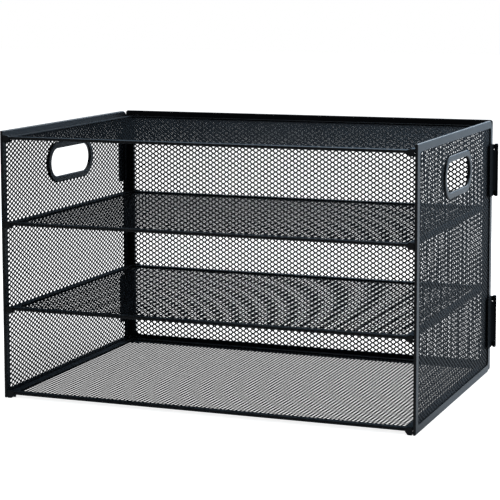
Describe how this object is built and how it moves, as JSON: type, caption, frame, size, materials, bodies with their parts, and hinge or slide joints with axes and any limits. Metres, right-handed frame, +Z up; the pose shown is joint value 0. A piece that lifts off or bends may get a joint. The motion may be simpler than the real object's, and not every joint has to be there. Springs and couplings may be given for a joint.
{
  "type": "desk letter tray",
  "caption": "Free-standing desktop letter tray in black mesh: open-fronted bays between flat decks, side panels with hand holes, hinged at the rear corners to the back panel.",
  "frame": {"origin": "centre of the base, on the surface the tray stands on", "axes": "+Z up, +Y towards the back panel, +X to the right as seen from the open front"},
  "size_m": [0.3382, 0.229, 0.2075],
  "materials": {
    "expanded_metal": "black powder coat on expanded steel mesh, satin",
    "hem_steel": "black powder coat on folded sheet steel, satin",
    "handle_steel": "black powder coat on pressed sheet steel, satin",
    "hinge_steel": "black powder coat on sheet steel, satin",
    "pin_steel": "black powder coat on steel wire, satin",
    "lug_steel": "black powder coat on formed sheet steel, satin"
  },
  "bodies": {
    "back": {"back_hem": "hem_steel", "back_mesh": "expanded_metal", "back_pins": "pin_steel", "left_lower_hinge_back_leaf": "hinge_steel", "left_lower_hinge_pin": "pin_steel", "right_lower_hinge_back_leaf": "hinge_steel", "right_lower_hinge_pin": "pin_steel", "left_upper_hinge_back_leaf": "hinge_steel", "left_upper_hinge_pin": "pin_steel", "right_upper_hinge_back_leaf": "hinge_steel", "right_upper_hinge_pin": "pin_steel"},
    "left_side": {"left_side_hem": "hem_steel", "left_side_mesh": "expanded_metal", "left_handle_rim": "handle_steel", "left_side_pins": "pin_steel", "left_lower_hinge_side_leaf": "hinge_steel", "left_upper_hinge_side_leaf": "hinge_steel"},
    "right_side": {"right_side_hem": "hem_steel", "right_side_mesh": "expanded_metal", "right_handle_rim": "handle_steel", "right_side_pins": "pin_steel", "right_lower_hinge_side_leaf": "hinge_steel", "right_upper_hinge_side_leaf": "hinge_steel"},
    "bottom_deck": {"bottom_deck_hem": "hem_steel", "bottom_deck_mesh": "expanded_metal", "bottom_deck_front_left_lug": "lug_steel", "bottom_deck_front_right_lug": "lug_steel", "bottom_deck_rear_left_lug": "lug_steel", "bottom_deck_rear_right_lug": "lug_steel"},
    "lower_deck": {"lower_deck_hem": "hem_steel", "lower_deck_mesh": "expanded_metal", "lower_deck_front_left_lug": "lug_steel", "lower_deck_front_right_lug": "lug_steel", "lower_deck_rear_left_lug": "lug_steel", "lower_deck_rear_right_lug": "lug_steel"},
    "upper_deck": {"upper_deck_hem": "hem_steel", "upper_deck_mesh": "expanded_metal", "upper_deck_front_left_lug": "lug_steel", "upper_deck_front_right_lug": "lug_steel", "upper_deck_rear_left_lug": "lug_steel", "upper_deck_rear_right_lug": "lug_steel"},
    "top_deck": {"top_deck_hem": "hem_steel", "top_deck_mesh": "expanded_metal", "top_deck_front_left_lug": "lug_steel", "top_deck_front_right_lug": "lug_steel", "top_deck_rear_left_lug": "lug_steel", "top_deck_rear_right_lug": "lug_steel"}
  },
  "joints": [
    {"name": "left_side_swing", "type": "hinge", "parent": "back", "child": "left_side", "pos_m": [-0.1676, 0.113, 0.10375], "axis": [0, 0, -1], "range_deg": [0, 180]},
    {"name": "right_side_swing", "type": "hinge", "parent": "back", "child": "right_side", "pos_m": [0.1676, 0.113, 0.10375], "axis": [0, 0, 1], "range_deg": [0, 180]},
    {"name": "bottom_deck_lift", "type": "slide", "parent": "back", "child": "bottom_deck", "axis": [0, 0, 1], "range_m": [0, 0.055]},
    {"name": "lower_deck_lift", "type": "slide", "parent": "back", "child": "lower_deck", "axis": [0, 0, 1], "range_m": [0, 0.055]},
    {"name": "upper_deck_lift", "type": "slide", "parent": "back", "child": "upper_deck", "axis": [0, 0, 1], "range_m": [0, 0.055]},
    {"name": "top_deck_lift", "type": "slide", "parent": "back", "child": "top_deck", "axis": [0, 0, 1], "range_m": [0, 0.055]}
  ]
}
